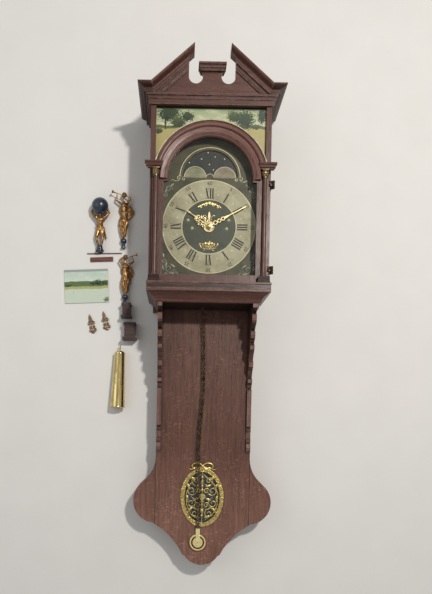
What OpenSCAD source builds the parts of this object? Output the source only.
// Frisian tail clock lying on its back, with the pieces that were taken off laid beside it.
// X is to the right, Y runs up the clock and Z comes out of the dial, in millimetres.
// The origin is on the axis of the hands, on the rear face of the back board.

/* [Case] */
// Width of the trunk
trunk_w = 262; // [240:1:290]
// Depth of the trunk from the wall to the front of its board
trunk_d = 72; // [66:1:84]
// Thickness of the back board
back_t = 10; // [8:0.5:12]
// Thickness of the trunk's front board
front_t = 12; // [9:0.5:14]
// Thickness of the trunk's sides and of the tail's rim
side_t = 12; // [8:0.5:14]
// Distance from the hands down to the underside of the shelf
shelf_drop = 203; // [196:1:212]
// Thickness of the shelf
shelf_t = 12; // [9:0.5:14]
// Distance from the hands down to where the tail begins to flare
tail_drop = 615; // [600:1:630]

/* [Tail] */
// Radius of the hollow flare that starts the tail
flare_r = 90; // [80:1:100]
// Radius of the round ear
ear_r = 62; // [56:1:66]
// Distance from the start of the tail to the centre of the ear
ear_drop = 123; // [118:1:128]
// Half width of the tail over its ears
ear_half = 192; // [186:1:198]
// Radius of the tail's tip
tip_r = 55; // [50:1:58]
// Distance from the start of the tail to the centre of the tip
tip_drop = 245; // [240:1:250]

/* [Pendulum window] */
// Half width of the oval grille
grille_a = 60.5; // [54:0.5:64]
// Half height of the oval grille
grille_b = 82; // [76:0.5:86]
// Width of the grille's rim
grille_rim = 11.5; // [9:0.5:13]
// Thickness of the grille
grille_t = 4; // [3:0.5:5]
// Distance from the start of the tail's flare down to the centre of the oval
window_drop = 111; // [105:1:117]

/* [Hood] */
// Width of the hood's body
hood_w = 316; // [308:1:330]
// Depth of the hood from the wall to the front of its frame
hood_d = 180; // [176:1:190]
// Thickness of the hood's boards
hood_t = 14; // [10:0.5:16]
// Height of the hood's body above the hands
hood_up = 336; // [330:1:344]
// Height of the plain band under the cornice
entab_h = 26; // [22:1:30]
// Reach of the cornice beyond the hood's side
crown_out = 35; // [30:0.5:38]
// Height of the flat ends of the cornice above the hood's body
crown_h = 24; // [22:0.5:27]
// Rise angle of the sloping cornice
rake_a = 41.9; // [38:0.1:44]
// Half width of the opening between the two sloping cornices
rake_gap = 47.3; // [44:0.1:56]

/* [Door] */
// Height of the arch's centre above the hands
arch_y = 114; // [108:0.5:116]
// How far the hood's side stands outside the door's edge
door_margin = 7; // [5:0.5:9]
// Width of the arch from its outer edge to its glass
arch_w = 40.5; // [38:0.5:43]
// Width of the door's stiles
stile_w = 30; // [28:0.5:32]
// Distance from the hands down to the sill of the opening
sill_drop = 133; // [128:0.5:136]
// Thickness of the door frame
door_t = 8.5; // [7:0.5:10]
// Diameter of the columns
column_d = 11.6; // [9:0.2:13]
// Distance from the door's edge in to the axis of a column
column_in = 10; // [9:0.5:12]
// Thickness of the door's glass
glass_t = 2; // [1.5:0.25:3]

/* [Dial] */
// Distance from the wall to the front of the dial
dial_z = 150; // [148:0.5:154]
// Thickness of the dial plate
dial_t = 3; // [2:0.25:4]
// How far the dial plate reaches behind the door's stiles
dial_lap = 5; // [3:0.5:7]
// Radius of the moon opening
moon_r = 73; // [68:0.5:76]
// Height of the moon's centre above the hands
moon_y = 129; // [127:0.5:132]
// Reach of the hour hand
hour_len = 75; // [66:1:84]
// Reach of the minute hand
minute_len = 112; // [100:1:120]
// Radius of the alarm disc
alarm_r = 15; // [12:0.5:18]

/* [Movement] */
// Thickness of the brass plates and bars
plate_t = 3; // [2.5:0.25:4]
// Radius of the arbors
arbor_r = 2; // [1.6:0.1:2.4]
// Radius of the pivots
pivot_r = 1; // [0.8:0.05:1.2]
// Thickness of the wheels
wheel_t = 2; // [1.5:0.1:2.5]
// Radius of the escape wheel at its tips
escape_r = 15; // [14.5:0.1:15.5]
// Distance from the suspension to the centre of the bob
pendulum_l = 785; // [770:1:800]
// Radius of the bob
bob_r = 42; // [34:1:46]
// Thickness of the bob
bob_t = 20; // [12:1:24]
// Radius of the bell
bell_r = 36; // [32:1:38]

/* [Chain and pulley] */
// Wire thickness of the chain
wire_d = 1.5; // [1.2:0.1:1.6]
// Width of a chain link
link_w = 6; // [5.4:0.1:6.2]
// Length of a chain link
link_l = 10.6; // [10:0.1:12]
// Radius of the pulley
pulley_r = 22.4; // [19:0.2:24]
// Thickness of the pulley
pulley_t = 6; // [5:0.25:8]

/* [Loose pieces] */
// Length of the brass weight
weight_l = 160; // [150:1:170]
// Radius of the weight at its foot
weight_r = 21.5; // [18:0.5:24]
// Radius of the weight at its shoulder
weight_top_r = 15; // [13:0.5:17]
// Radius of the globe
globe_r = 24; // [21:0.5:26]
// Width of the small painted glass
pane_w = 127; // [118:1:134]
// Height of the small painted glass
pane_h = 97; // [88:1:102]
// Thickness of the small painted glass
pane_t = 3; // [2:0.25:5]

/* [Clearances] */
// Gap between pieces that move past each other
gap = 0.3; // [0.2:0.05:0.4]
// Radial clearance of an arbor in its hole
run = 0.05; // [0.03:0.01:0.08]

/* [Hidden] */
$fn = 48;
far = 1000;

// Case
trunk_half = trunk_w / 2;
shelf_y = -shelf_drop;
shelf_top = shelf_y + shelf_t;
tail_y = -tail_drop;
front_back_z = trunk_d - front_t;
moulding_h = 31;
moulding_top = shelf_y + moulding_h;
moulding_foot = 12;
shelf_half = trunk_half - 6;
shelf_d = 168;
console_t = 12;

// How far the hood's side reaches past the back board, and the hanging hole
back_lip = 8;
hook_y = hood_up - 50;
hook_r = 5;

// Height of the rivet heads on the grille
rivet_h = 1.2;

// Tail: centres of its arcs, from the ear inwards
ear_y = tail_y - ear_drop;
ear_x = ear_half - ear_r;
hollow_r = 186;
hollow_x = 220;
hollow_y = tail_y - 352;
tip_y = tail_y - tip_drop;

// Hood
hood_half = hood_w / 2;
hood_in = hood_half - hood_t;
moulding_out = hood_half + 3 - shelf_half;
frame_t = 14;
frame_back = hood_d - frame_t;
hood_back = back_t + gap;
hood_foot = moulding_top + gap;
fillet_h = 17.2;
fillet_top = hood_foot + fillet_h;
fillet_out = 4;
fillet_front = 26;
entab_y = hood_up - entab_h;
crown_top = hood_up + crown_h;
crown_base = hood_d - 8;
crown_front = crown_base + crown_out;
band_n = 34;
cap_n = 12;
rake_x = hood_half;
mitre_a = 270 - rake_a / 2;
rake_len = (rake_x - rake_gap) / cos(rake_a) + 40;
notch_in = 24.2;
notch_out = 61;
notch_r = (notch_out - notch_in) / 2;
notch_x = (notch_out + notch_in) / 2;
notch_y = hood_up + 32 + notch_r;
cap_y = hood_up + 61.6;
board_back = frame_back;

// Door
arch_out = hood_half - door_margin;
arch_in = arch_out - arch_w;
light_half = arch_out - stile_w;
column_x = arch_out - column_in;
door_back = hood_d + 1.5;
door_front = door_back + door_t;
door_foot = fillet_top + gap;
rail_top = -sill_drop;
glass_z = door_back + 2.5;
column_z = door_front + column_d / 2 + 0.2;
impost_y = arch_y + 25.6;
impost_h = 16.7;
impost_out = hood_half + 12.5;
impost_in = arch_in + 20;
capital_y = arch_y + 3;
capital_h = impost_y - capital_y;
block_h = 16.9;
block_in = column_x - 15;
base_top = door_foot + block_h;
front_z = 206;
hinge_x = hood_half + 6;
hinge_z = hood_d + 8;
hinge_r = 3.5;
hinge_pin_r = 1.5;
hinge_h = 10;
hinge_ys = [-118, 104];

// Movement: depths of its bars and places of its arbors
back_bar_z = 44;
mid_bar_z = 82;
front_bar_z = 122;
frame_half = 60;
plate_low = -84;
plate_high = 66;
pillar_x = 44;
pillar_zs = [back_bar_z + 8, front_bar_z - 5];
pillar_r = 4;
great_m = 1;
centre_m = 0.8;
third_m = 0.7;
leaves = 8;
great_n = 72;
centre_n = 72;
third_n = 60;
great_y = -(great_n + leaves) * great_m / 2;
centre_reach = (centre_n + leaves) * centre_m / 2;
third_reach = (third_n + leaves) * third_m / 2;
third_x = 20;
third_y = sqrt(centre_reach * centre_reach - third_x * third_x);
third_a = atan2(third_y, third_x);
escape_y = third_y + sqrt(third_reach * third_reach - third_x * third_x);
escape_a = atan2(escape_y - third_y, -third_x);
anchor_y = escape_y + escape_r / cos(41.4);
swing = 3.5;
fly_a = 135;
fly_x = third_reach * cos(fly_a);
fly_y = third_reach * sin(fly_a);
great_z = mid_bar_z + plate_t + 3;
sprocket_z = 98;
sprocket_r = 7.5;
sprocket_w = 12;
third_z = great_z + 11;
centre_z = great_z + 19;
escape_z = great_z + 25;
strike_z = back_bar_z + plate_t + 3;
pin_wheel_z = strike_z + 10;
pendulum_z = 30;
pendulum_t = 2.5;
rod_half = 3;
crutch_z = 37;
fork_y = 10;
motion_z = front_bar_z + plate_t + 2;
cannon_n = 30;
minute_n = 60;
motion_m = 0.7;
hour_pinion_n = 12;
hour_n = 72;
motion_reach = (cannon_n + minute_n) * motion_m / 2;
hour_m = 2 * motion_reach / (hour_pinion_n + hour_n);
motion_a = 210;
stud_r = 1.5;
pipe_r = 4.2;
hour_z = dial_z + 6;
minute_z = hour_z + 4;
hand_t = 1.2;
hour_angle = 304.5;
minute_angle = 61;
minute_holes = [[13, 5.4], [22.4, 4.8], [30.6, 4.2]];
hammer_x = -66;
half_pivot = (plate_t - gap) / 2;
dial_foot_x = 56;
bell_y = plate_high + 18;
bell_z = 64;
bell_h = 26;

// Dial
dial_half = light_half + dial_lap;
dial_foot = -sill_drop - dial_lap;
dial_arch_r = arch_in + 1.5 * dial_lap;
hump_r = 30;
hump_x = 39;
bump_r = 11;

// Chain: the two runs side by side, and their height above the floor, down the clock
link_step = link_l - 2 * wire_d - 2.5 * gap;
strand_gap = 7;
wrap_r = 12;
run_x = [[-785, -10], [-600, -14], [-540, -12], [-427, -3.6], [-203, -6], [-94, 0], [-40, 0]];
run_half = [[-785, 3.5], [-230, 3.5], [-203, 4.2], [-94, 11.4], [-70, 12], [-40, 12]];
run_z = [[-785, 81.4], [-660, 81.4], [-640, 80.6], [-600, 76.6], [-580, 75.8], [-330, 75.8],
    [-290, 77.4], [-262, 81.6], [-235, 89], [-215, 94.6], [-203, 96.8], [-185, 98], [-40, 98]];
pulley_x = -10;
pulley_y = tail_y - 236;
chain_end = pulley_y + 68;
strap_half = 5.75;
strap_t = 1.5;
pulley_z = trunk_d + gap + strap_t + gap;
axle_r = 2;

// Loose pieces: where each lies on the floor, and how far it is turned
globe_bearer_at = [-307, -30.5];
trumpeter_left_at = [-239, -18];
trumpeter_right_at = [-232, -177];
trumpeter_tall = [160, 138];
plinth_at = [[-226, -200], [-215, -260]];
lath_at = [-302, -50];
lath_a = 3;
rod_at = [-294.5, -32.7];
rod_a = 1.8;
pane_at = [-345, -128.5];
pane_a = 3;
scroll_at = [[-328, -238], [-288, -228]];
scroll_a = 15;
weight_at = [-246, -480];
weight_a = -1.3;

// Extrudes a drawing in Y and Z along X
module along_x(t) rotate([90, 0, 90]) linear_extrude(t) children();

// Extrudes a drawing in X and Z along Y
module along_y(h) translate([0, h, 0]) rotate([90, 0, 0]) linear_extrude(h) children();

// A piece and its twin on the other side of the clock
module both_sides() {
    children();
    mirror([1, 0, 0]) children();
}

function arc(x, y, r, a0, a1, n = 10) =
    [for (i = [0:n]) let (a = a0 + (a1 - a0) * i / n) [x + r * cos(a), y + r * sin(a)]];

function oval(a, b, n = 56) = [for (i = [0:n - 1]) [a * cos(360 * i / n), b * sin(360 * i / n)]];

// Right half of the tail, from the trunk down to the tip, drawn inwards by an inset
function tail_half(inset) = concat(
    [[trunk_half - inset, tail_y + 5]],
    arc(trunk_half + flare_r, tail_y, flare_r + inset, 180, 220, 8),
    arc(ear_x, ear_y, ear_r - inset, 40, -85, 18),
    arc(hollow_x, hollow_y, hollow_r + inset, 123.3, 154.5, 8),
    arc(0, tip_y, tip_r - inset, -32, -90, 7));

function flip(p) = [for (i = [len(p) - 1:-1:0]) [-p[i][0], p[i][1]]];

module symmetric(half) polygon(concat(half, flip(half)));

module tail_shape(inset = 0) symmetric(tail_half(inset));

// Right half of the trunk and tail, from the shelf down
function case_half() = concat([[trunk_half, shelf_y]], tail_half(0));

module window_shape(grow = 0)
    translate([0, tail_y - window_drop])
        polygon(oval(grille_a - grille_rim + 2 + grow, grille_b - grille_rim + 2 + grow));

// Toothed outline: straight-flanked teeth from root to tip
function teeth(n, r_root, r_tip, w_root, w_tip, phase) =
    [for (i = [0:n - 1], k = [0:3])
        let (side = k < 2 ? -1 : 1,
             out = k == 1 || k == 2,
             a = phase + 360 / n * (i + side * (out ? w_tip : w_root) / 2),
             r = out ? r_tip : r_root)
        [r * cos(a), r * sin(a)]];

// A crossed-out brass wheel
module wheel(n, m, phase, t = wheel_t) {
    r = n * m / 2;
    rim = r - m - 3;
    linear_extrude(t) difference() {
        polygon(teeth(n, r - m, r + 0.7 * m, 0.44, 0.14, phase));
        for (i = [0:3])
            rotate(45 + 90 * i) intersection() {
                difference() {
                    circle(rim);
                    circle(6);
                }
                polygon([[4, 0], [rim, rim - 4], [far, far], [far, -far], [rim, 4 - rim]]);
            }
    }
}

// A pinion of solid leaves
module pinion(n, m, phase, h) {
    r = n * m / 2;
    linear_extrude(h) polygon(teeth(n, r - 1.1 * m, r + 0.5 * m, 0.3, 0.16, phase));
}

// An arbor with a pivot at each end: two that share a hole have half a pivot each there
module arbor(x, y, z0, z1, low = plate_t, high = plate_t) {
    translate([x, y, z0 - low]) cylinder(h = z1 - z0 + low + high, r = pivot_r, $fn = 24);
    translate([x, y, z0 + gap]) cylinder(h = z1 - z0 - 2 * gap, r = arbor_r, $fn = 24);
}

module pivot_hole(x, y, r = pivot_r) translate([x, y]) circle(r + run, $fn = 24);

// Case

module back_board() color("sienna") linear_extrude(back_t) difference() {
    symmetric(concat([[hood_half - back_lip, hood_up], [hood_half - back_lip, shelf_y]], case_half()));
    translate([0, hook_y]) circle(hook_r);
}

module trunk_sides() color("sienna") both_sides()
    translate([trunk_half - side_t, tail_y, back_t])
        cube([side_t, shelf_y - tail_y, front_back_z - back_t]);

module trunk_front_board() color("saddlebrown")
    translate([0, 0, front_back_z]) linear_extrude(front_t) difference() {
        intersection() {
            symmetric(case_half());
            translate([-trunk_half, -far]) square([trunk_w, 2 * far]);
        }
        window_shape();
    }

module tail_ears() color("saddlebrown")
    translate([0, 0, front_back_z]) linear_extrude(front_t) difference() {
        tail_shape();
        translate([-trunk_half, -far]) square([trunk_w, 2 * far]);
    }

module tail_rims() color("sienna")
    translate([0, 0, back_t]) linear_extrude(front_back_z - back_t) difference() {
        tail_shape();
        tail_shape(side_t);
        translate([-gap / 2, -far]) square([gap, 2 * far]);
        translate([-far, tail_y]) square([2 * far, far]);
    }

// Scalloped cheek, from the shelf down: share of its run and share of its height at each turn. Six
// hollows step down to a plain run, and two more end it.
console_turns = [[0, 1], [0.026, 1], [0.030, 0.97], [0.052, 0.76], [0.064, 0.85], [0.082, 0.88],
    [0.105, 0.86], [0.120, 0.80], [0.135, 0.68], [0.160, 0.53], [0.169, 0.63], [0.190, 0.66],
    [0.213, 0.62], [0.222, 0.54], [0.243, 0.44], [0.262, 0.54], [0.285, 0.53], [0.296, 0.48],
    [0.315, 0.38], [0.348, 0.26], [0.370, 0.36], [0.400, 0.33], [0.425, 0.20], [0.470, 0.07],
    [0.483, 0.18], [0.506, 0.18], [0.520, 0.10], [0.550, 0.03], [0.556, 0.115], [0.680, 0.10],
    [0.809, 0.115], [0.820, 0.05], [0.835, 0.10], [0.850, 0.05], [0.891, 0.03], [0.900, 0.085],
    [0.925, 0.04], [0.930, 0.085], [0.955, 0.10], [0.977, 0.07], [1, 0]];
console_end = 12;

function console_edge(top) = let (run = shelf_y - tail_y - console_end) concat([[shelf_y, 0]],
    [for (turn = console_turns) [shelf_y - run * turn[0], top * turn[1]]]);

module consoles() color("saddlebrown") both_sides()
    translate([trunk_half - console_t, 0, trunk_d])
        along_x(console_t) polygon(console_edge(shelf_d + moulding_foot - trunk_d - 1));

module seat_shelf() color("sienna") difference() {
    translate([-shelf_half, shelf_y, back_t]) cube([2 * shelf_half, shelf_t, shelf_d - back_t]);
    chain_slot(shelf_y - 1, shelf_t + 2);
    pendulum_slot(shelf_y - 1, shelf_t + 2);
}

module chain_slot(y, h)
    translate([-wrap_r - 8, y, sprocket_z - link_w - 2]) cube([2 * wrap_r + 16, h, 2 * link_w + 4]);

module pendulum_slot(y, h)
    translate([-26, y, pendulum_z - 8]) cube([52, h, 16]);

// Cove moulding round three sides of the shelf: distance out from the shelf and height
function cove() = concat([[0, shelf_y], [moulding_foot, shelf_y]],
    [for (i = [0:8]) let (a = 90 * i / 8)
        [moulding_out - 2 - (moulding_out - moulding_foot - 4) * cos(a),
         shelf_y + 3 + (moulding_h - 9) * (1 - cos(a)) * 0.55
             + (moulding_h - 9) * sin(a) * 0.45]],
    [[moulding_out, moulding_top - 6], [moulding_out, moulding_top], [0, moulding_top]]);

module shelf_moulding() color("sienna") {
    both_sides() intersection() {
        translate([shelf_half, 0, back_t])
            linear_extrude(shelf_d + moulding_out - back_t) polygon(cove());
        translate([0, -far, 0]) along_y(2 * far) polygon([[shelf_half, 0], [far, 0],
            [far, shelf_d + far - shelf_half], [shelf_half, shelf_d]]);
    }
    intersection() {
        translate([-far, 0, shelf_d]) along_x(2 * far)
            polygon([for (p = cove()) [p[1], p[0]]]);
        translate([0, -far, 0]) along_y(2 * far) polygon([[-shelf_half, shelf_d],
            [shelf_half, shelf_d], [far, shelf_d + far - shelf_half],
            [-far, shelf_d + far - shelf_half]]);
    }
}

module hanging_plate() color("dimgray")
    translate([0, hook_y, back_t]) difference() {
        translate([-22, -28, 0]) cube([44, 56, 3]);
        translate([0, 0, -1]) cylinder(h = 5, r = hook_r + 1);
        for (y = [-20, 20]) translate([0, y, -1]) cylinder(h = 5, r = 1.6, $fn = 24);
    }

// Oval brass rim with a ribbon bow above and a spray of leaves across it
module window_grille() color("goldenrod")
    translate([0, tail_y - window_drop, trunk_d]) {
        linear_extrude(grille_t) {
            difference() {
                polygon(oval(grille_a, grille_b));
                polygon(oval(grille_a - grille_rim, grille_b - grille_rim));
            }
            for (s = [-1, 1]) {
                translate([14 * s, grille_b + 6]) difference() {
                    circle(9);
                    circle(4);
                }
                translate([27 * s, grille_b + 1]) circle(6);
            }
            translate([0, grille_b]) circle(6);
            grille_leaves();
        }
        for (a = [0:45:315])
            translate([(grille_a - grille_rim / 2) * cos(a), (grille_b - grille_rim / 2) * sin(a),
                grille_t]) cylinder(h = rivet_h, r1 = 2.4, r2 = 1.6, $fn = 16);
    }

module grille_leaves() {
    reach_b = grille_b - grille_rim + 1;
    translate([-1.5, -reach_b]) square([3, 2 * reach_b]);
    for (y = [-48:16:48])
        for (s = [-1, 1])
            intersection() {
                translate([s * 24, y + 10]) rotate(s * 24) polygon(oval(27, 5.2, 20));
                polygon(oval(grille_a - 4, grille_b - 4));
            }
}

module window_glass() color("lightsteelblue", 0.5)
    translate([0, 0, front_back_z - glass_t]) linear_extrude(glass_t) window_shape(8);

// Hood

module hood_sides() color("brown") both_sides()
    translate([hood_in, hood_foot, hood_back])
        cube([hood_t, hood_up - hood_foot, frame_back - hood_back]);

module hood_top_board() color("brown")
    translate([-hood_in, hood_up - hood_t, hood_back])
        cube([2 * hood_in, hood_t, frame_back - hood_back]);

module hood_front_frame() color("brown")
    translate([0, 0, frame_back]) linear_extrude(frame_t) difference() {
        translate([-hood_half, hood_foot]) square([hood_w, hood_up - hood_foot]);
        translate([-hood_in, hood_foot + frame_t])
            square([2 * hood_in, entab_y - hood_foot - frame_t]);
    }

// A straight-sided band round the front and sides of the hood
module hood_band(y, h, out_side, out_front, inner_half = hood_half, inner_d = hood_d)
    difference() {
        translate([-hood_half - out_side, y, hood_back])
            cube([hood_w + 2 * out_side, h, hood_d + out_front - hood_back]);
        translate([-inner_half, y - 1, -1]) cube([2 * inner_half, h + 2, inner_d + 1]);
    }

module hood_base_fillet() color("brown") {
    hood_band(hood_foot, fillet_h - 4, fillet_out - 1.2, fillet_front - 2);
    hood_band(fillet_top - 4, 4, fillet_out, fillet_front);
}

module entablature() color("brown") {
    hood_band(entab_y, entab_h * 0.5, 6, 6);
    hood_band(entab_y + entab_h * 0.5, entab_h * 0.3, 9, 9);
    hood_band(entab_y + entab_h * 0.8, entab_h * 0.2 + 0.7, 13, 13);
}

// Cornice section: distance down from its top edge and distance out
function crown_wave(t) = crown_out - 2 - (crown_out - 20) * (t - 0.12 * sin(360 * t));

function crown(back, front_back) = concat([[0, back], [0, crown_out], [3, crown_out]],
    [for (i = [0:8]) [3.5 + (cap_n - 3.5) * i / 8, crown_wave(i / 8)]],
    [[cap_n, 18], [20, 18], [20, 20], [22, 20], [22, 14], [30, 14], [30, 12], [band_n, 12],
     [band_n, front_back], [cap_n, front_back], [cap_n, back]]);

// Keeps what lies on one side of the upright cut where flat and sloping cornice meet
module beyond_mitre(side)
    translate([rake_x, crown_top, 0]) rotate([0, 0, mitre_a])
        translate([-far, side > 0 ? 0 : -far, 0]) cube([2 * far, far, far]);

module cornice_return() {
    intersection() {
        translate([0, 0, hood_back]) linear_extrude(crown_front - hood_back) difference() {
            polygon([for (p = crown(0, 0)) [hood_half + p[1], crown_top - p[0]]]);
            translate([0, hood_up + 0.7 - far]) square([far, far]);
        }
        along_y(far) polygon([[hood_half, 0], [far, 0],
            [far, crown_base + far - hood_half], [hood_half, crown_base]]);
    }
    intersection() {
        translate([0, 0, crown_base]) along_x(far)
            polygon([for (p = crown(board_back - crown_base, hood_d - crown_base))
                [crown_top - p[0], p[1]]]);
        along_y(far) polygon([[0, 0], [hood_half, 0], [hood_half, crown_base],
            [far, crown_base + far - hood_half], [0, far]]);
        translate([0, hood_up + 0.7, 0]) cube([far, far, far]);
        beyond_mitre(1);
    }
}

module cornice_returns() color("brown") both_sides() cornice_return();

module raking_cornice() intersection() {
    translate([rake_x, crown_top, crown_base]) rotate([90, 0, 270 - rake_a])
        translate([0, 0, -60]) linear_extrude(rake_len + 60)
            polygon(crown(board_back - crown_base, hood_d - crown_base));
    beyond_mitre(-1);
    translate([rake_gap, hood_up + 0.7, 0]) cube([far, far, far]);
    linear_extrude(far) {
        translate([notch_out, 0]) square([far, far]);
        translate([rake_x, crown_top]) rotate(180 - rake_a) square([far, cap_n + 0.01]);
    }
}

module raking_cornices() color("brown") both_sides() raking_cornice();

// Tympanum with its two round-bottomed cuts and the block that carries a figure
module pediment_board() color("brown") {
    slope = tan(rake_a);
    top_x = rake_x - cap_n * tan(rake_a / 2);
    shoulder_y = crown_top - cap_n;
    translate([0, 0, board_back]) linear_extrude(frame_t) difference() {
        polygon([[-hood_half, hood_up], [hood_half, hood_up], [hood_half, shoulder_y],
            [top_x, shoulder_y], [notch_out - 20, shoulder_y + (top_x - notch_out + 20) * slope],
            [20 - notch_out, shoulder_y + (top_x - notch_out + 20) * slope],
            [-top_x, shoulder_y], [-hood_half, shoulder_y]]);
        for (s = [-1, 1]) {
            translate([s * notch_x, notch_y]) circle(notch_r);
            translate([s * notch_x - notch_r, notch_y]) square([2 * notch_r, far]);
        }
        translate([-notch_x, cap_y]) square([2 * notch_x, far]);
    }
    neck = cap_y - notch_y;
    translate([0, 0, board_back]) linear_extrude(frame_t)
        both_sides() polygon(concat([[0, notch_y + 1], [notch_in - 0.5, notch_y + 1]],
            [for (i = [0:5]) [notch_in - 0.5 + 7 * (1 - cos(90 * i / 5)),
                notch_y + 1 + (neck - 1) * sin(90 * i / 5)]],
            [[0, cap_y]]));
    translate([-31, cap_y, board_back - 3]) cube([62, 6, frame_t + 12]);
    translate([-33.5, cap_y + 6, board_back - 5]) cube([67, 7, frame_t + 18]);
    translate([-36, cap_y + 13, board_back - 8]) cube([72, 5, frame_t + 26]);
}

module spandrel_panel() color("olivedrab")
    translate([0, 0, frame_back]) linear_extrude(4) difference() {
        translate([-hood_in, arch_y + 8]) square([2 * hood_in, entab_y - arch_y - 8]);
        translate([0, arch_y]) circle(arch_in + 18, $fn = 96);
    }

module hood_hinge_pins() color("goldenrod") for (y = hinge_ys) {
    translate([hinge_x, y - hinge_h, hinge_z]) {
        rotate([-90, 0, 0]) cylinder(h = 2 * hinge_h, r = hinge_pin_r, $fn = 24);
        rotate([-90, 0, 0]) cylinder(h = hinge_h - gap, r = hinge_r, $fn = 24);
    }
    translate([hood_half, y - hinge_h, hinge_z - 26])
        cube([2, hinge_h - gap, 22]);
    translate([hood_half, y - hinge_h, hinge_z - 6]) cube([hinge_x - hood_half, hinge_h - gap, 3.5]);
}

// Door

module door_frame() color("brown")
    translate([0, 0, door_back]) linear_extrude(door_t) difference() {
        union() {
            translate([-arch_out, door_foot]) square([2 * arch_out, arch_y - door_foot]);
            translate([0, arch_y]) circle(arch_out, $fn = 96);
        }
        translate([-light_half, rail_top]) square([2 * light_half, arch_y - 6 - rail_top]);
        translate([-arch_in, arch_y - 7]) square([2 * arch_in, 7]);
        translate([0, arch_y]) circle(arch_in, $fn = 96);
    }

// Arch moulding: its inner members stand on the capitals, its outer ones on the imposts
module door_arch_moulding() color("brown") translate([0, arch_y, door_front]) {
    inner = arch_in + 1.5;
    shoulder = impost_in;
    rotate_extrude(angle = 180, $fn = 96)
        polygon([[inner, 0], [inner, 3], [inner + 4, 6], [inner + 9, 7], [inner + 11, 4],
            [shoulder - 6, 5], [shoulder - 4, 9], [shoulder, 12], [shoulder, 0]]);
    intersection() {
        rotate_extrude(angle = 180, $fn = 96)
            polygon([[shoulder - 0.5, 0], [shoulder - 0.5, 12], [arch_out - 4, 14.5],
                [arch_out, 14.5], [arch_out, 0]]);
        translate([-far, impost_y + impost_h - arch_y - 0.5, -1]) cube([2 * far, far, 20]);
    }
}

// What stands in front of the door frame
module before_frame() intersection() {
    children();
    translate([-far, -far, door_front]) cube([2 * far, 2 * far, far]);
}

module door_columns() color("brown") both_sides() before_frame()
    translate([column_x, 0, column_z]) rotate([-90, 0, 0]) rotate_extrude(angle = 360) {
        r = column_d / 2;
        polygon([[0, base_top], [r + 2, base_top], [r + 2, base_top + 4], [r + 0.6, base_top + 5],
            [r + 0.6, base_top + 8], [r, base_top + 10], [r * 0.92, capital_y],
            [0, capital_y]]);
    }

module column_capitals() color("goldenrod") both_sides() before_frame() {
    r = column_d / 2;
    translate([column_x, capital_y, column_z]) rotate([-90, 0, 0]) rotate_extrude(angle = 360)
        polygon([[0, 0], [r + 0.8, 0], [r + 0.8, 1.6], [r - 0.2, 2.4], [r - 0.2, 5],
            [r + 1.6, 9], [r + 0.6, 10], [r + 2.6, 15], [r + 2.2, 16], [r + 3.4, capital_h - 3.6],
            [0, capital_h - 3.6]]);
    translate([column_x - 9, impost_y - 3.6, column_z - 7]) cube([18, 3.6, 15.5]);
}

// Impost blocks under the arch and plinth blocks under the columns
module door_blocks() color("brown") both_sides() {
    deep = front_z - door_front;
    difference() {
        union() {
            translate([light_half, impost_y, door_front])
                cube([impost_out - light_half - 7, impost_h - 5, deep - 7]);
            translate([light_half, impost_y + 4, door_front])
                cube([impost_out - light_half - 3.5, impost_h - 9, deep - 4]);
            translate([light_half, impost_y + impost_h - 5, door_front])
                cube([impost_out - light_half, 4.5, deep - 1]);
        }
        translate([0, arch_y, door_front - 1]) cylinder(h = 30, r = impost_in, $fn = 96);
    }
    translate([block_in, door_foot, door_front]) cube([hood_half - block_in, 4, deep]);
    translate([block_in + 1, door_foot, door_front])
        cube([hood_half - block_in - 2, block_h, deep - 1]);
}

module door_glass() color("lightblue", 0.3)
    translate([0, 0, glass_z]) linear_extrude(glass_t) {
        translate([-light_half + gap, rail_top + gap])
            square([2 * (light_half - gap), arch_y - 6 - rail_top - 2 * gap]);
        translate([-arch_in + gap, arch_y - 8]) square([2 * (arch_in - gap), 8]);
        translate([0, arch_y]) circle(arch_in - gap, $fn = 96);
    }

module door_hinges() color("goldenrod") for (y = hinge_ys) {
    translate([0, y, 0]) difference() {
        union() {
            translate([hinge_x, 0, hinge_z]) rotate([-90, 0, 0])
                cylinder(h = hinge_h, r = hinge_r, $fn = 24);
            translate([arch_out, 0, hinge_z - 1]) cube([hinge_x - arch_out, hinge_h, 2]);
        }
        translate([hinge_x, -1, hinge_z]) rotate([-90, 0, 0])
            cylinder(h = hinge_h + 2, r = hinge_pin_r + run, $fn = 24);
    }
}

// Movement

module movement_seat() color("burlywood") {
    seat_d = front_bar_z - 2;
    seat_half = trunk_half - 12;
    both_sides() translate([seat_half - 12, shelf_top, back_t + 10])
        cube([12, plate_low - 10 - shelf_top, seat_d - back_t - 10]);
    difference() {
        translate([-seat_half, plate_low - 10, back_t + 10])
            cube([2 * seat_half, 10, seat_d - back_t - 10]);
        chain_slot(plate_low - 11, 12);
        pendulum_slot(plate_low - 11, 12);
    }
}

module movement_plates() color("gold") {
    deep = front_bar_z + plate_t - back_bar_z;
    difference() {
        translate([-frame_half, plate_low, back_bar_z]) cube([2 * frame_half, plate_t, deep]);
        chain_slot(plate_low - 1, plate_t + 2);
    }
    translate([-frame_half, plate_high, back_bar_z]) cube([2 * frame_half, plate_t, deep]);
    pendulum_cock();
    movement_bar(back_bar_z, [[0, great_y], [0, 0], [fly_x, fly_y], [0, anchor_y], [hammer_x, 0]]);
    difference() {
        movement_bar(mid_bar_z, [[0, great_y], [0, 0], [third_x, third_y], [0, escape_y],
            [fly_x, fly_y], [hammer_x, 0]]);
        translate([0, anchor_y, mid_bar_z - 1])
            cylinder(h = plate_t + 2, r = arbor_r + run, $fn = 24);
    }
    front_bar();
}

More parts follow.
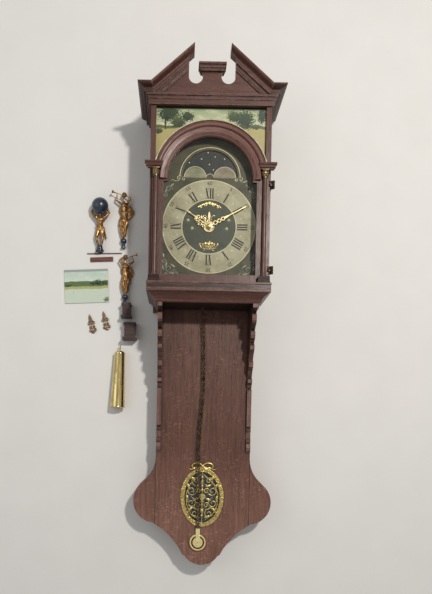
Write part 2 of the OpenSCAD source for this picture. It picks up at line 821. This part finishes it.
// Tongue behind the top plate with the pin that the pendulum swings on
module pendulum_cock() {
    back = pendulum_z - pendulum_t / 2 - gap - 6;
    translate([-6, plate_high, back]) cube([12, plate_t, back_bar_z - back + 1]);
    translate([-6, anchor_y - 6, back]) cube([12, plate_high + plate_t - anchor_y + 6, 6]);
    translate([0, anchor_y, back + 5]) cylinder(h = 9, r = pivot_r + 0.2, $fn = 24);
}

module movement_bar(z, holes) translate([0, 0, z]) linear_extrude(plate_t) difference() {
    union() {
        translate([-12, plate_low + plate_t]) square([24, plate_high - plate_low - plate_t]);
        translate([fly_x - 6, fly_y - 6]) square([third_x + 6 - fly_x + 6, 12 + third_y - fly_y]);
        translate([hammer_x - 5, -5]) square([-hammer_x, 10]);
    }
    for (h = holes) pivot_hole(h[0], h[1]);
}

module front_bar() {
    translate([0, 0, front_bar_z]) linear_extrude(plate_t) difference() {
        union() {
            translate([-12, plate_low + plate_t]) square([24, plate_high - plate_low - plate_t]);
            translate([0, third_y - 7]) square([third_x + 7, 14]);
            translate([motion_reach * cos(motion_a) - 6, motion_reach * sin(motion_a) - 5])
                square([-motion_reach * cos(motion_a), 12]);
        }
        pivot_hole(0, great_y);
        pivot_hole(0, 0, arbor_r);
        pivot_hole(third_x, third_y);
        pivot_hole(0, escape_y);
        pivot_hole(0, anchor_y);
    }
    translate([motion_reach * cos(motion_a), motion_reach * sin(motion_a), front_bar_z + 1])
        cylinder(h = motion_z + 11 - front_bar_z, r = stud_r, $fn = 24);
}

module movement_pillars() color("goldenrod")
    for (x = [-pillar_x, pillar_x], z = pillar_zs)
        translate([x, plate_low + plate_t, z]) rotate([-90, 0, 0]) rotate_extrude(angle = 360) {
            h = plate_high - plate_low - plate_t;
            polygon([[0, 0], [pillar_r + 1.5, 0], [pillar_r + 1.5, 4], [pillar_r, 6],
                [pillar_r - 1, 30], [pillar_r + 1, 44], [pillar_r - 1, 58], [pillar_r - 1, h - 30],
                [pillar_r, h - 6], [pillar_r + 1.5, h - 4], [pillar_r + 1.5, h], [0, h]]);
        }

module great_wheel() color("gold") {
    arbor(0, great_y, mid_bar_z + plate_t, front_bar_z, half_pivot);
    translate([0, great_y, great_z]) wheel(great_n, great_m, 90, wheel_t);
    translate([0, great_y, sprocket_z - sprocket_w / 2])
        cylinder(h = sprocket_w, r = sprocket_r);
    for (z = [sprocket_z - sprocket_w / 2 - 1, sprocket_z + sprocket_w / 2 - 1])
        translate([0, great_y, z]) cylinder(h = 2, r = wrap_r + 3);
}

module centre_arbor() color("gold") {
    translate([0, 0, mid_bar_z + plate_t - half_pivot])
        cylinder(h = half_pivot + 2 * gap, r = pivot_r, $fn = 24);
    translate([0, 0, mid_bar_z + plate_t + gap])
        cylinder(h = minute_z + 5 - mid_bar_z - plate_t - gap, r = arbor_r, $fn = 24);
    translate([0, 0, great_z - 1.5]) pinion(leaves, great_m, 270 + 180 / leaves, wheel_t + 4);
    translate([0, 0, centre_z]) wheel(centre_n, centre_m, third_a);
    translate([0, 0, motion_z]) wheel_solid(cannon_n, motion_m, motion_a);
}

// A small wheel without crossings
module wheel_solid(n, m, phase, t = wheel_t) {
    r = n * m / 2;
    linear_extrude(t) polygon(teeth(n, r - m, r + 0.7 * m, 0.44, 0.14, phase));
}

module third_arbor() color("gold") {
    arbor(third_x, third_y, mid_bar_z + plate_t, front_bar_z);
    translate([third_x, third_y, centre_z - 2])
        pinion(leaves, centre_m, third_a + 180 + 180 / leaves, wheel_t + 4);
    translate([third_x, third_y, third_z]) wheel(third_n, third_m, escape_a);
}

module escape_arbor() color("gold") {
    arbor(0, escape_y, mid_bar_z + plate_t, front_bar_z);
    translate([0, escape_y, third_z - 2])
        pinion(leaves, third_m, escape_a + 180 + 180 / leaves, wheel_t + 4);
    translate([0, escape_y, escape_z]) linear_extrude(wheel_t) difference() {
        polygon([for (i = [0:29], k = [0:2])
            let (a = 6 + 12 * i + [0, 0.8, 5.5][k], r = [escape_r, escape_r, escape_r - 3][k])
            [r * cos(a), r * sin(a)]]);
        for (i = [0:3]) rotate(90 * i + 45) translate([escape_r * 0.45, 0]) circle(2.6);
    }
}

// Anchor with its two pallets, its arbor and the crutch that drives the pendulum
module anchor() color("silver") {
    arbor(0, anchor_y, back_bar_z + plate_t, front_bar_z);
    translate([0, anchor_y, crutch_z]) cylinder(h = back_bar_z - crutch_z + 1, r = pivot_r, $fn = 24);
    translate([0, anchor_y, escape_z - 1]) linear_extrude(wheel_t + 2) {
        circle(4);
        both_sides() polygon(pallet_arm());
    }
    translate([-2, fork_y, crutch_z]) cube([4, anchor_y - fork_y, 3]);
    translate([-5.5, fork_y, crutch_z]) cube([11, 4, 3]);
    both_sides() translate([rod_half + gap, fork_y, pendulum_z - 4])
        cube([2, 4, crutch_z + 1 - pendulum_z + 4]);
}

// Arm from the hub to a nib that stays clear of the wheel's tips over the whole swing
function pallet_arm() = let (
    a = 41.4,
    nib = escape_r + 0.2 + escape_r * tan(a) * sin(swing),
    cx = nib * sin(a), cy = nib * cos(a) - (anchor_y - escape_y),
    tx = cos(a), ty = -sin(a))
    [[0, 3], [cx + 3, cy + 6.5], [cx + 3.2 * sin(a) + tx * 0.9, cy + 3.2 * cos(a) + ty * 0.9],
     [cx + tx * 0.6, cy + ty * 0.6], [cx - tx * 0.6, cy - ty * 0.6],
     [cx + 2.6 * sin(a) - tx * 1.2, cy + 2.6 * cos(a) - ty * 1.2], [0, -1]];

module pendulum_rod() color("silver") {
    translate([0, 0, pendulum_z - pendulum_t / 2]) linear_extrude(pendulum_t) difference() {
        union() {
            translate([0, anchor_y]) circle(4);
            translate([-rod_half, anchor_y - pendulum_l - bob_r - 14])
                square([2 * rod_half, pendulum_l + bob_r + 13]);
        }
        translate([0, anchor_y]) circle(pivot_r + 0.2 + run, $fn = 24);
    }
    translate([0, anchor_y - pendulum_l - bob_r - 10, pendulum_z]) rotate([-90, 0, 0])
        difference() {
            cylinder(h = 6, r = 6);
            translate([-rod_half, -pendulum_t / 2, -1]) cube([2 * rod_half, pendulum_t, 8]);
        }
}

module pendulum_bob() color("gold")
    translate([0, anchor_y - pendulum_l, pendulum_z]) difference() {
        dome = bob_t / 2;
        ball = (bob_r * bob_r + dome * dome) / (2 * dome);
        intersection() {
            translate([0, 0, dome - ball]) sphere(ball, $fn = 96);
            translate([0, 0, ball - dome]) sphere(ball, $fn = 96);
        }
        translate([-rod_half - 0.02, -bob_r - 1, -pendulum_t / 2 - 0.02])
            cube([2 * rod_half + 0.04, 2 * bob_r + 2, pendulum_t + 0.04]);
    }

module strike_great_wheel() color("gold") {
    arbor(0, great_y, back_bar_z + plate_t, mid_bar_z, plate_t, half_pivot);
    translate([0, great_y, strike_z]) wheel(great_n, great_m, 90);
    translate([0, great_y, crutch_z]) cylinder(h = back_bar_z - crutch_z + 1, r = pivot_r, $fn = 24);
    translate([0, great_y, crutch_z]) linear_extrude(2) difference() {
        circle(26);
        for (i = [0:11]) rotate(i * (i + 1) / 2 * 360 / 78)
            translate([23.5, -0.6]) square([4, 1.2]);
    }
}

module strike_pin_wheel() color("gold") {
    arbor(0, 0, back_bar_z + plate_t, mid_bar_z, plate_t, half_pivot);
    translate([0, 0, strike_z - 1.5]) pinion(leaves, great_m, 270 + 180 / leaves, wheel_t + 3);
    translate([0, 0, pin_wheel_z]) wheel(third_n, third_m, fly_a);
    for (i = [0:7]) rotate(45 * i)
        translate([third_n * third_m / 2 - 2.5, 0, pin_wheel_z + wheel_t - 0.5])
            cylinder(h = 5, r = 0.8, $fn = 16);
}

module strike_fly() color("gold") {
    arbor(fly_x, fly_y, back_bar_z + plate_t, mid_bar_z);
    translate([fly_x, fly_y, pin_wheel_z - 2])
        pinion(leaves, third_m, fly_a + 180 + 180 / leaves, wheel_t + 4);
    translate([fly_x - 12, fly_y - 0.5, pin_wheel_z + 8]) cube([24, 1, 12]);
}

module bell() color("lightgoldenrodyellow") {
    translate([0, bell_y, bell_z]) rotate([-90, 0, 0]) rotate_extrude(angle = 360)
        polygon(concat([[bell_r, 0]],
            [for (i = [1:6]) let (a = 15 * i) [(bell_r - 2) * cos(a) + 2 * (1 - i / 6),
                bell_h * sin(a)]],
            [[0, bell_h - 2.5]],
            [for (i = [5:-1:1]) let (a = 15 * i) [(bell_r - 5) * cos(a) + 2 * (1 - i / 6),
                (bell_h - 2.5) * sin(a)]],
            [[bell_r - 2.6, 0]]));
    translate([0, plate_high + plate_t, bell_z]) rotate([-90, 0, 0])
        cylinder(h = bell_y + bell_h - 2 - plate_high - plate_t, r = 2.5, $fn = 24);
    translate([0, bell_y + bell_h - 0.5, bell_z]) rotate([-90, 0, 0])
        cylinder(h = 5, r = 4, $fn = 24);
}

// Hammer on its arbor, with the tail that the pins of the strike lift
module hammer() color("silver") {
    arbor(hammer_x, 0, back_bar_z + plate_t, mid_bar_z);
    translate([hammer_x - 1.5, 0, bell_z - 2]) cube([3, bell_y + 4, 4]);
    translate([hammer_x - 1, bell_y + 4, bell_z]) rotate([0, 90, 0])
        cylinder(h = -hammer_x - bell_r - 1, r = 5, $fn = 24);
    tail_x = -third_n * third_m / 2 - 2;
    translate([hammer_x, -2, bell_z - 1]) cube([tail_x - hammer_x, 4, 2]);
}

module minute_wheel() color("gold")
    translate([motion_reach * cos(motion_a), motion_reach * sin(motion_a), 0]) difference() {
        union() {
            translate([0, 0, motion_z])
                wheel_solid(minute_n, motion_m, motion_a + 180 + 180 / minute_n);
            translate([0, 0, motion_z + wheel_t - 0.1])
                pinion(hour_pinion_n, hour_m, motion_a + 180 + 180 / hour_pinion_n, 7);
        }
        translate([0, 0, motion_z - 1]) cylinder(h = 14, r = stud_r + run, $fn = 24);
    }

module hour_wheel() color("gold") difference() {
    union() {
        translate([0, 0, motion_z + 5]) wheel_solid(hour_n, hour_m, motion_a);
        translate([0, 0, motion_z + 5]) cylinder(h = hour_z + 1.5 - motion_z - 5, r = pipe_r);
    }
    translate([0, 0, motion_z]) cylinder(h = hour_z, r = arbor_r + run, $fn = 24);
}

// Dial and hands

module dial_plate() color("darkseagreen") {
    translate([0, 0, dial_z - dial_t]) linear_extrude(dial_t) difference() {
        union() {
            translate([-dial_half, dial_foot]) square([2 * dial_half, arch_y - dial_foot]);
            translate([0, arch_y]) circle(dial_arch_r, $fn = 96);
        }
        translate([0, moon_y]) difference() {
            intersection() {
                circle(moon_r, $fn = 96);
                translate([-far, 0]) square([2 * far, far]);
            }
            for (s = [-1, 1]) translate([s * hump_x, 0]) circle(hump_r);
            circle(bump_r);
        }
        circle(pipe_r + 0.5);
    }
    for (x = [-dial_foot_x, dial_foot_x], y = [plate_low + plate_t / 2, plate_high + plate_t / 2])
        translate([x, y, front_bar_z + plate_t])
            cylinder(h = dial_z - dial_t - front_bar_z - plate_t, r = 4, $fn = 24);
    translate([0, moon_y, dial_z - dial_t - 9]) cylinder(h = 9.5, r = arbor_r, $fn = 24);
}

module moon_disc() color("midnightblue")
    translate([0, moon_y, dial_z - dial_t - 4]) linear_extrude(1.5) difference() {
        polygon(teeth(118, moon_r + 2.5, moon_r + 5, 0.45, 0.1, 90));
        circle(arbor_r + run, $fn = 24);
    }

module alarm_disc() color("tan")
    translate([0, 0, dial_z + 1.5]) difference() {
        cylinder(h = 2, r = alarm_r);
        translate([0, 0, -1]) cylinder(h = 4, r = pipe_r + run);
    }

module hour_hand() color("goldenrod")
    translate([0, 0, hour_z]) rotate([0, 0, -hour_angle]) linear_extrude(hand_t) difference() {
        union() {
            circle(8);
            translate([-1.2, 6]) square([2.4, 33]);
            both_sides() for (p = [[5, 17, 4.5], [9, 26, 5], [4.5, 33, 4]])
                translate([p[0], p[1]]) circle(p[2]);
            translate([0, 42]) circle(5);
            polygon([[-2, 45.6], [2, 45.6], [1, 60], [2.6, 64], [0, hour_len], [-2.6, 64], [-1, 60]]);
        }
        circle(pipe_r);
        both_sides() for (p = [[5, 17, 2.2], [9, 26, 2.6], [4.5, 33, 2]])
            translate([p[0], p[1]]) circle(p[2]);
        translate([0, 42]) circle(2.6);
    }

module minute_hand() color("goldenrod") translate([0, 0, minute_z]) difference() {
    union() {
        rotate([0, 0, -minute_angle]) linear_extrude(hand_t) difference() {
            union() {
                circle(6.5);
                translate([-1.6, 5]) square([3.2, 4]);
                for (h = minute_holes) translate([0, h[0]]) circle(h[1]);
                polygon([[-2.2, 33.8], [2.2, 33.8], [2.6, 44], [1.1, 52],
                    [0.9, minute_len - 3], [0, minute_len], [-0.9, minute_len - 3],
                    [-1.1, 52], [-2.6, 44]]);
            }
            for (h = minute_holes) translate([0, h[0]]) circle(h[1] - 2.1);
        }
        translate([0, 0, hand_t / 2]) cylinder(h = hand_t / 2 + 2.2, r1 = 4.8, r2 = 3);
    }
    translate([0, 0, -1]) cylinder(h = 6, r = arbor_r, $fn = 24);
}

// Chain and pulley

module link() {
    straight = (link_l - link_w) / 2;
    linear_extrude(wire_d, center = true) difference() {
        stadium(straight, link_w / 2);
        stadium(straight, link_w / 2 - wire_d);
    }
}

module stadium(straight, r) {
    translate([-r, -straight]) square([2 * r, 2 * straight]);
    for (s = [-1, 1]) translate([0, s * straight]) circle(r, $fn = 24);
}

module chain() color("darkslategray") {
    count = floor((great_y - chain_end) / link_step);
    for (s = [-1, 1], i = [0:count]) {
        y = great_y - i * link_step;
        y1 = y - 1;
        x = lookup(y, run_x) + s * lookup(y, run_half);
        x1 = lookup(y1, run_x) + s * lookup(y1, run_half);
        z = lookup(y, run_z);
        z1 = lookup(y1, run_z);
        translate([x, y, z]) rotate([0, 0, -atan(x - x1)]) rotate([atan(z - z1), 0, 0])
            rotate([0, i % 2 == 0 ? 0 : 90, 0]) link();
    }
    wraps = floor(180 * wrap_r / 57.2958 / link_step);
    for (i = [1:wraps]) rotate_about(great_y, 180 * i / (wraps + 1))
        translate([wrap_r, 0, sprocket_z]) rotate([0, i % 2 == 0 ? 0 : 90, 0]) link();
}

module rotate_about(y, a) translate([0, y, 0]) rotate([0, 0, a]) children();

// Hook, stirrup and strap that carry the pulley
module pulley_block() color("goldenrod") translate([pulley_x, pulley_y, 0]) {
    top = pulley_z + pulley_t + gap;
    for (z = [pulley_z - gap - strap_t, top])
        translate([-strap_half, -7, z]) cube([2 * strap_half, 39 + pulley_r * 0.3, strap_t]);
    translate([-strap_half, 30 + pulley_r * 0.3, pulley_z - gap - strap_t])
        cube([2 * strap_half, 2, pulley_t + 2 * gap + 2 * strap_t]);
    translate([0, 0, pulley_z - gap - strap_t])
        cylinder(h = pulley_t + 2 * gap + 2 * strap_t + 1, r = axle_r, $fn = 24);
    translate([0, 31 + pulley_r * 0.3, trunk_d + grille_t + rivet_h + gap]) {
        translate([-7, 0, 0]) cube([14, 6, 4]);
        translate([-4, 5, 0]) cube([8, 12, 3]);
        translate([0, 21, 0]) difference() {
            cylinder(h = 3, r = 6.5);
            translate([0, 0, -1]) cylinder(h = 5, r = 3.6);
        }
    }
}

module pulley_wheel() color("silver") translate([pulley_x, pulley_y, pulley_z]) difference() {
    rotate_extrude(angle = 360) polygon([[0, 0], [pulley_r, 0], [pulley_r, 1],
        [pulley_r - 3.4, pulley_t / 2], [pulley_r, pulley_t - 1], [pulley_r, pulley_t],
        [pulley_r - 4.4, pulley_t], [pulley_r - 5, pulley_t - 1.2], [14.5, pulley_t - 1.2],
        [14, pulley_t], [0, pulley_t]]);
    translate([0, 0, -1]) cylinder(h = pulley_t + 2, r = axle_r + run, $fn = 24);
}

// Loose pieces on the floor

module weight() color("gold") translate([weight_at[0], weight_at[1], 0]) rotate([0, 0, weight_a]) {
    lean = atan((weight_r - weight_top_r) / weight_l);
    translate([0, 0, weight_r * cos(lean)]) rotate([-90 - lean, 0, 0]) {
        rotate_extrude(angle = 360) polygon([[0, 0], [weight_r - 1.5, 0], [weight_r, 1.5],
            [weight_top_r, weight_l - 1], [weight_top_r - 2, weight_l + 1.5], [0, weight_l + 4]]);
        translate([0, 0, weight_l + 3]) cylinder(h = 6, r = 2.4, $fn = 24);
        translate([0, 0, weight_l + 13]) rotate([0, 90, 0]) rotate_extrude(angle = 360, $fn = 32)
            translate([6, 0]) circle(1.5, $fn = 16);
    }
}

// A rounded limb between two points
module limb(p, q, r0, r1) hull() {
    translate(p) sphere(r0, $fn = 10);
    translate(q) sphere(r1, $fn = 10);
}

// A feathered wing that hangs from the shoulder, flat in the plane of the floor
module wing(p, side, span, drop) translate(p) linear_extrude(4)
    polygon([[0, 0], [side * span * 0.5, 2], [side * span * 0.95, -drop * 0.22],
        [side * span, -drop * 0.5], [side * span * 0.9, -drop * 0.95], [side * span * 0.7, -drop],
        [side * span * 0.35, -drop * 0.72], [0, -drop * 0.4]]);

module globe_bearer() color("peru") translate([globe_bearer_at[0], globe_bearer_at[1], 0]) {
    translate([0, 0, 12]) rotate([-90, 0, 0]) cylinder(h = 6, r = 12);
    translate([0, 5, 12]) rotate([-90, 0, 0]) cylinder(h = 13, r1 = 10.5, r2 = 8);
    limb([-5, 19, 13], [-9, 43, 18], 4, 5.5);
    limb([-9, 43, 18], [-4, 66, 14], 5.5, 8);
    limb([5, 19, 13], [7, 43, 15], 4, 5.5);
    limb([7, 43, 15], [4, 66, 14], 5.5, 8);
    limb([0, 68, 13], [0, 92, 14], 10, 12);
    limb([0, 98, 18], [0, 104, 19], 5.5, 6.5);
    limb([-11, 96, 14], [-26, 114, 15], 5, 4);
    limb([-26, 114, 15], [-20, 127, 17], 4, 3);
    limb([11, 96, 14], [26, 114, 15], 5, 4);
    limb([26, 114, 15], [20, 127, 17], 4, 3);
    translate([0, 104 + globe_r, globe_r]) sphere(globe_r, $fn = 32);
    translate([-12, 48, 0]) cube([24, 36, 9]);
}

// A winged figure in a long robe that stands on a ball and blows a trumpet over one shoulder
module trumpeter(horn, tall, span, drop) {
    k = tall / 160;
    hip = [0, 76 * k, 13];
    waist = [-1, 103 * k, 13];
    chest = [0, 121 * k, 14];
    translate([0, 0, 9]) rotate([-90, 0, 0]) cylinder(h = 14, r1 = 7, r2 = 5);
    translate([0, 20 * k, 9.5]) sphere(9, $fn = 20);
    limb([0, 31 * k, 11], [0, 52 * k, 12], 5.5, 8.5);
    limb([0, 52 * k, 12], hip, 8.5, 12);
    limb(hip, waist, 12, 8.5);
    limb(waist, chest, 8.5, 10.5);
    limb([0, 132 * k, 15], [0, 142 * k, 16], 4.5, 5);
    limb([0, 147 * k, 17], [0, tall - 7, 17], 6.5, 7);
    limb([horn * 9, 127 * k, 14], [horn * 24, 138 * k, 14], 4, 3.4);
    limb([horn * 24, 138 * k, 14], [horn * 21, 154 * k, 17], 3.4, 2.8);
    limb([horn * 3, 149 * k, 21], [horn * 24, 156 * k, 18], 1.6, 2.2);
    limb([horn * 24, 156 * k, 18], [horn * 33, 160 * k, 18], 2.2, 5);
    limb([-horn * 9, 127 * k, 14], [-horn * 18, 142 * k, 14], 4, 3.4);
    limb([-horn * 18, 142 * k, 14], [-horn * 7, 152 * k, 17], 3.4, 2.8);
    limb([horn * 8, 84 * k, 9], [horn * 12, 68 * k, 9], 6, 4);
    translate([-8, 50 * k, 0]) cube([16, 62 * k, 10.6]);
    wing([6, 121 * k, 3], 1, span, drop);
}

module trumpeter_left() color("peru")
    translate([trumpeter_left_at[0], trumpeter_left_at[1], 0])
    trumpeter(-1, trumpeter_tall[0], 32, 44);

module trumpeter_right() color("peru")
    translate([trumpeter_right_at[0], trumpeter_right_at[1], 0])
    trumpeter(1, trumpeter_tall[1], 20, 62);

// Two small blocks, a thin lath and a thin rod
module loose_plinths() color("saddlebrown") {
    translate([plinth_at[0][0], plinth_at[0][1], 0]) {
        translate([-11, -17, 0]) cube([22, 34, 28]);
        translate([-15, -21, 0]) cube([30, 7, 30]);
        translate([-14, 15, 0]) cube([28, 6, 29]);
    }
    translate([plinth_at[1][0], plinth_at[1][1], 0]) {
        translate([-15, -20, 0]) cube([30, 42, 31]);
        translate([-20, -25, 0]) cube([40, 8, 35]);
        translate([-18, 19, 0]) cube([36, 6, 33]);
    }
    translate([lath_at[0], lath_at[1], 0]) rotate([0, 0, lath_a])
        translate([-33, -6.5, 0]) cube([66, 13, 3]);
    translate([rod_at[0], rod_at[1], 1.5]) rotate([0, 0, rod_a])
        translate([-50, 0, 0]) rotate([0, 90, 0]) cylinder(h = 100, r = 1.5, $fn = 24);
}

module glass_panel() color("skyblue")
    translate([pane_at[0], pane_at[1], 0]) rotate([0, 0, pane_a])
    translate([-pane_w / 2, -pane_h / 2, 0]) cube([pane_w, pane_h, pane_t]);

// Carved scroll with a spear point
module scroll_ornaments() color("darkgoldenrod") for (p = scroll_at)
    translate([p[0], p[1], 0]) rotate([0, 0, scroll_a]) linear_extrude(5) {
        polygon([[0, 29], [-5, 16], [-2.5, 10], [2.5, 10], [5, 16]]);
        translate([-2.5, -24]) square([5, 36]);
        for (s = [-1, 1]) {
            translate([s * 5, 2]) difference() {
                circle(5.5);
                circle(2.4);
            }
            translate([s * 6, -20]) circle(4.6);
        }
        translate([0, -24]) circle(5);
    }

back_board();
trunk_sides();
trunk_front_board();
tail_ears();
tail_rims();
consoles();
seat_shelf();
shelf_moulding();
hanging_plate();
window_grille();
window_glass();
hood_sides();
hood_top_board();
hood_front_frame();
hood_base_fillet();
entablature();
cornice_returns();
raking_cornices();
pediment_board();
spandrel_panel();
hood_hinge_pins();
door_frame();
door_arch_moulding();
door_columns();
column_capitals();
door_blocks();
door_glass();
door_hinges();
movement_seat();
movement_plates();
movement_pillars();
great_wheel();
centre_arbor();
third_arbor();
escape_arbor();
anchor();
pendulum_rod();
pendulum_bob();
strike_great_wheel();
strike_pin_wheel();
strike_fly();
bell();
hammer();
minute_wheel();
hour_wheel();
dial_plate();
moon_disc();
alarm_disc();
hour_hand();
minute_hand();
chain();
pulley_block();
pulley_wheel();
weight();
globe_bearer();
trumpeter_left();
trumpeter_right();
loose_plinths();
glass_panel();
scroll_ornaments();
